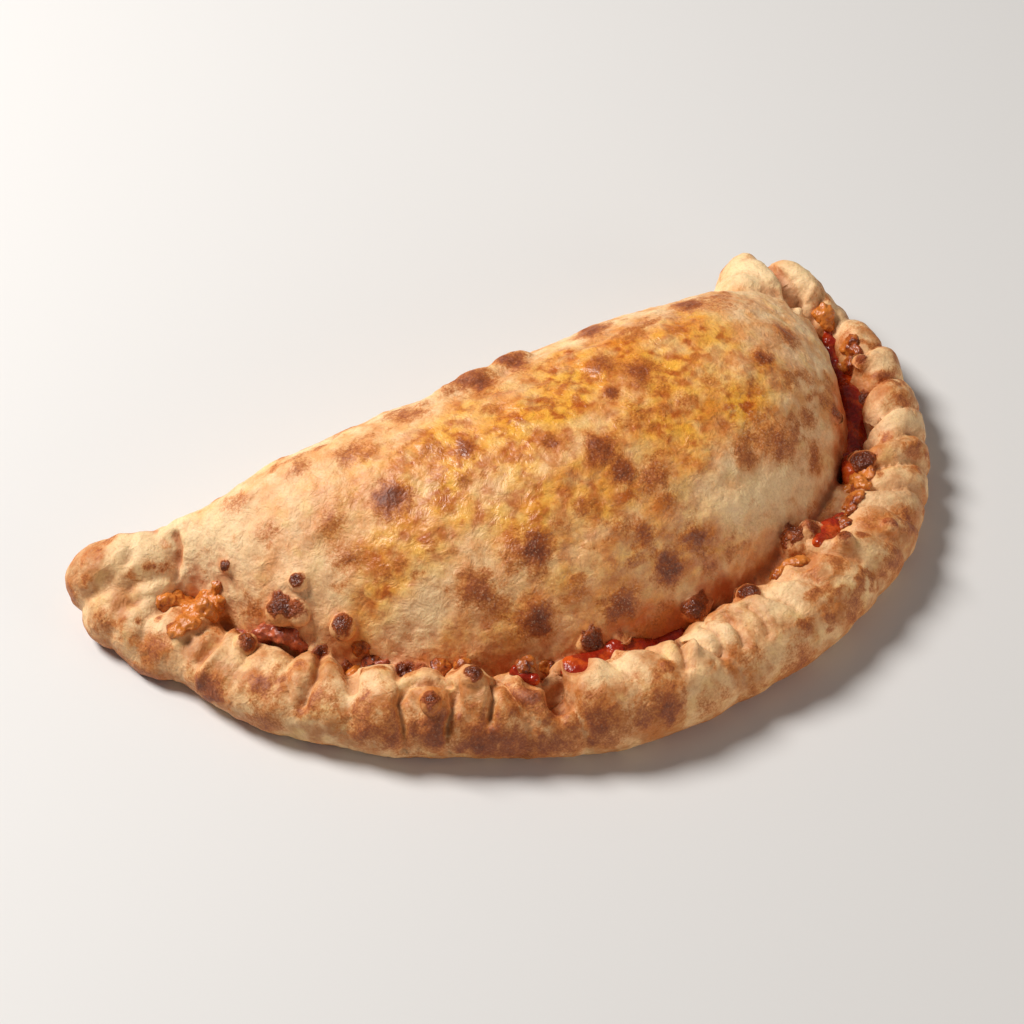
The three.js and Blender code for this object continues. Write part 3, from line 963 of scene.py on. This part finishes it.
# Painted shade: the hollows and creases are mixed towards a darker brown.
dough_colour = crust.mix(crust.times(crust.attribute("fold"), 0.5), dough_colour, CREASE_SHADE_BROWN)
roast = crust.math("ADD", crust.attribute("toast"), crust.times(blushing, 0.12))
baking = {"Base": dough_colour, "Toast": roast, "Char": crust.attribute("char"), "Grain": 0.7}
baked = crust.add("ShaderNodeGroup", baking, node_tree=browning)
floury = crust.math("ADD", crust.times(blushing, 0.4), crust.times(crust.attribute("toast"), 0.16))
powder = crust.times(crust.step(speck, 0.56, 0.68), floury)
crust_colour = crust.mix(powder, baked.outputs["Colour"], FLOUR)
crust_colour = crust.mix(crust.step(speck, 0.54, 0.36, 0, 0.16), crust_colour, SPECK_BROWN)
crust.join(crust_colour, crust_shader.inputs["Base Color"])
dry = crust.math("SUBTRACT", 0.6, crust.times(soaked, 0.3))
dry = crust.math("SUBTRACT", dry, crust.times(baked.outputs["Burnt"], 0.3))
dry = crust.math("ADD", dry, crust.times(crust.math("SUBTRACT", speck, 0.5), 0.3))
crust.join(dry, crust_shader.inputs["Roughness"])
pitted = crust.add("ShaderNodeGroup", {"Size": 1.1, "Pitting": 0.3}, node_tree=bubbled)
leathery = crust.bump(crust.noise(4.6, 4, 0.6, distortion=0.8), 1.5, 0.6)
blistered = crust.times(crust.noise(1.3, 2, 0.5), baked.outputs["Burnt"])
leathery = crust.bump(blistered, 1.6, 0.9, leathery)
crust.join(crust.bump(pitted.outputs["Height"], 0.3, 0.8, leathery), crust_shader.inputs["Normal"])
crust_shader.inputs["Specular IOR Level"].default_value = 0.5
crust_shader.inputs["Subsurface Weight"].default_value = 0.06
crust_shader.inputs["Subsurface Radius"].default_value = (1.0, 0.45, 0.2)
crust_shader.inputs["Subsurface Scale"].default_value = 2.0 * MM


def finished(name, mesh, material):
    """The piece that a mesh makes in its own material."""
    mesh.materials.append(material)
    mesh.shade_smooth()
    piece = bpy.data.objects.new(name, mesh)
    bpy.context.scene.collection.objects.link(piece)
    return piece


dough = finished("dough", dough_mesh, baked_crust)
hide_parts("calzone")
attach(dough, "root")

# ---- Tomato sauce ----
# It has boiled up into the open seam, and lies there in a lumpy strip, wet and dark red on
# the right and dried to a pink crust on the left.
dough_faces = [tuple(face.vertices) for face in dough_mesh.polygons]
dough_surface = BVHTree.FromPolygons([Vector(v) for v in vertex_places(dough_mesh)], dough_faces)

# Each run is a line of (x, y, half width).
SAUCE_RUNS = [
    [(134, 38, 3.2), (131, 30, 3.8), (129, 20, 4.8), (125, 11, 5.0), (120, 3, 6.0), (115, -4, 6.6),
     (109, -11, 6.6), (103, -19, 5.4), (98, -26, 3.6)],
    [(84, -38, 3.4), (78, -42, 5.0), (72, -45, 4.0), (66, -48, 2.6)],
    [(14, -48, 2.4), (7, -48, 4.2), (0, -48, 5.2), (-8, -47, 4.4), (-15, -47, 4.6), (-21, -48, 5.2),
     (-27, -48, 5.0)],
    [(-41, -46, 2.6), (-45, -40, 2.2)],
    [(-75, -12, 2.4), (-79, -8, 2.4)],
    [(-93, 7, 2.8), (-97, 12, 3.4), (-101, 17, 3.8), (-104, 22, 3.8), (-107, 27, 3.2)],
]
DAB_STEP = 2.5  # between the dabs that make up a run
LEVEL_SPAN = 5  # dabs over which the height of the dough under a run is evened out

evening = np.full(LEVEL_SPAN, 1 / LEVEL_SPAN)
sauce_chance = np.random.default_rng(12)
sauce_sources = []
for run in SAUCE_RUNS:
    run = np.array(run, float)
    reach = np.concatenate([[0], np.cumsum(np.hypot(*np.diff(run[:, :2], axis=0).T))])
    stops = np.arange(0, reach[-1], DAB_STEP)
    line = np.stack([np.interp(stops, reach, column) for column in run.T], axis=1)
    level = np.array([top_of(dough_surface, x, y)[0][2] for x, y, _ in line])
    level = np.convolve(np.pad(level, LEVEL_SPAN // 2, "edge"), evening, "valid")
    for (x, y, wide), height in zip(line, level):
        x, y = np.array([x, y]) + sauce_chance.normal(0, 0.4, 2)
        size = wide * sauce_chance.uniform(0.8, 1.1)
        half = (size, size * 0.9, 2.2 + 0.1 * size)
        heading = sauce_chance.uniform(0, 180)
        dab = lump_rings((x, y, height), half, heading, stations=14, around=18)
        sauce_sources.append(tube(dab))

sauce_mesh = grown_together("tomato_sauce", sauce_sources, voxel=0.6, smoothing=9)
sauce_places = vertex_places(sauce_mesh)
dried = ease(-sauce_places[:, 0], 48, 62)
lumps = 0.4 * lumpy_noise(sauce_places, 3.4, seed=81)
lumps += 0.22 * lumpy_noise(sauce_places, 1.5, seed=83, octaves=2)
lumps = lumps * (0.65 + 1.2 * dried)
move_vertices(sauce_mesh, sauce_places + vertex_normals(sauce_mesh) * lumps[:, None])
store_masks(sauce_mesh, {"dried": dried, "pulp": ease(lumps, -0.2, 0.8)})

SAUCE_RED = linear(148, 32, 12)
PULP_RED = linear(204, 64, 18)
OILY_RED = linear(214, 88, 24)
DRIED_PINK = linear(196, 100, 60)
DRIED_BROWN = linear(136, 58, 38)

boiled_tomato, tomato, tomato_shader = new_material("tomato sauce")
wet = tomato.mix(tomato.attribute("pulp"), SAUCE_RED, PULP_RED)
wet = tomato.mix(tomato.step(tomato.noise(7, 3, 0.6), 0.46, 0.64, 0, 0.85), wet, OILY_RED)
crusted = tomato.mix(tomato.step(tomato.noise(2.5, 4, 0.6), 0.35, 0.65), DRIED_PINK, DRIED_BROWN)
sauce_colour = tomato.mix(tomato.attribute("dried"), wet, crusted)
tomato.join(sauce_colour, tomato_shader.inputs["Base Color"])
shine = tomato.step(tomato.noise(3, 3, 0.6), 0.3, 0.7, 0.12, 0.32)
shine = tomato.math("ADD", shine, tomato.times(tomato.attribute("dried"), 0.15))
tomato.join(shine, tomato_shader.inputs["Roughness"])
pulp = tomato.add("ShaderNodeGroup", {"Size": 1.2, "Pitting": 0.5}, node_tree=bubbled)
tomato.join(tomato.bump(pulp.outputs["Height"], 0.4, 0.8), tomato_shader.inputs["Normal"])
tomato_shader.inputs["Subsurface Weight"].default_value = 0.1
tomato_shader.inputs["Subsurface Radius"].default_value = (1.0, 0.2, 0.1)
tomato_shader.inputs["Subsurface Scale"].default_value = 1.5 * MM

sauce = finished("tomato_sauce", sauce_mesh, boiled_tomato)
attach(sauce, "root")

# ---- Browned cheese ----
# Mozzarella that has bubbled out of the seam and baked to crinkled orange-brown crusts, which
# cling to the dough beside the sauce. Each bit is a few flakes, heaped about its place in plan.
CHEESE_BITS = [
    (-124, 44, 3.0), (-119, 45, 3.5), (-116, 43, 4.0), (-112, 40, 4.5), (-109, 37, 4.5),
    (-113, 33, 4.0), (-118, 36, 4.0), (-121, 31, 3.5), (-125, 30, 3.0), (-84, -8, 2.2),
    (-79, -5, 2.6), (-76, -9, 3.0), (-62, -24, 2.4), (-55, -27, 2.6), (-41, -42, 3.5),
    (-36, -40, 3.0), (-32, -40, 3.5), (-12, -46, 2.6), (57, -48, 3.6), (51, -47, 3.0),
    (80, -43, 3.0), (96, -29, 4.5), (99, -26, 3.0), (109, -17, 2.4), (134, 25, 2.6),
    (131, 22, 3.0), (133, 37, 5.0), (135, 42, 3.0), (123, 12, 2.5), (115, -4, 3.4),
    (86, -40, 3.0), (90, -36, 2.6),
]
FLAKE_SIZE = (2.0, 3.6)
FLAKE_SHAPES = ((0.7, 0.7, 0.4), (1.3, 1.3, 0.65))  # the least and the most, in sizes
cheese_chance = np.random.default_rng(31)
cheese_sources = []
for x, y, spread in CHEESE_BITS:
    for _ in range(round(1.1 * spread)):
        offset = cheese_chance.normal(0, 0.34, 2) * spread
        foot, normal = top_of(dough_surface, x + offset[0], y + offset[1])
        size = cheese_chance.uniform(*FLAKE_SIZE)
        half = size * cheese_chance.uniform(*FLAKE_SHAPES)
        heading = math.degrees(math.atan2(normal[1], normal[0]))
        tilt = -math.degrees(math.acos(min(1, normal[2])))
        cheese_sources.append(tube(lump_rings(foot, half, heading, tilt, stations=9, around=10)))

cheese_mesh = grown_together("browned_cheese", cheese_sources, voxel=0.5, smoothing=6)
cheese_places = vertex_places(cheese_mesh)
crinkles = 0.5 * lumpy_noise(cheese_places, 2.6, seed=91)
crinkles += 0.3 * lumpy_noise(cheese_places, 1.1, seed=95, octaves=2)
move_vertices(cheese_mesh, cheese_places + vertex_normals(cheese_mesh) * crinkles[:, None])
patches = ease(lumpy_noise(cheese_places, 7, seed=97), -0.5, 0.9)
store_masks(cheese_mesh, {"patch": patches, "ridge": ease(crinkles, -0.25, 0.45)})

CHEESE_ORANGE = linear(212, 126, 52)
CHEESE_BROWN = linear(160, 64, 24)

browned_cheese, melted, melted_shader = new_material("browned cheese")
cheese_colour = melted.mix(melted.attribute("patch"), CHEESE_ORANGE, CHEESE_BROWN)
roasted = melted.math("ADD", melted.times(melted.attribute("patch"), 0.5), 0.28)
tips = melted.times(melted.attribute("ridge"), melted.step(melted.attribute("patch"), 0.4, 0.9, 0, 0.9))
crisping = {"Base": cheese_colour, "Toast": roasted, "Char": tips, "Grain": 0.8}
crisped = melted.add("ShaderNodeGroup", crisping, node_tree=browning)
melted.join(crisped.outputs["Colour"], melted_shader.inputs["Base Color"])
melted.join(melted.step(melted.noise(2, 3, 0.6), 0.3, 0.7, 0.2, 0.45), melted_shader.inputs["Roughness"])
crinkled = melted.add("ShaderNodeGroup", {"Size": 0.9, "Pitting": 0.4}, node_tree=bubbled)
melted.join(melted.bump(crinkled.outputs["Height"], 0.35, 0.9), melted_shader.inputs["Normal"])

cheese = finished("browned_cheese", cheese_mesh, browned_cheese)
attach(cheese, "root")
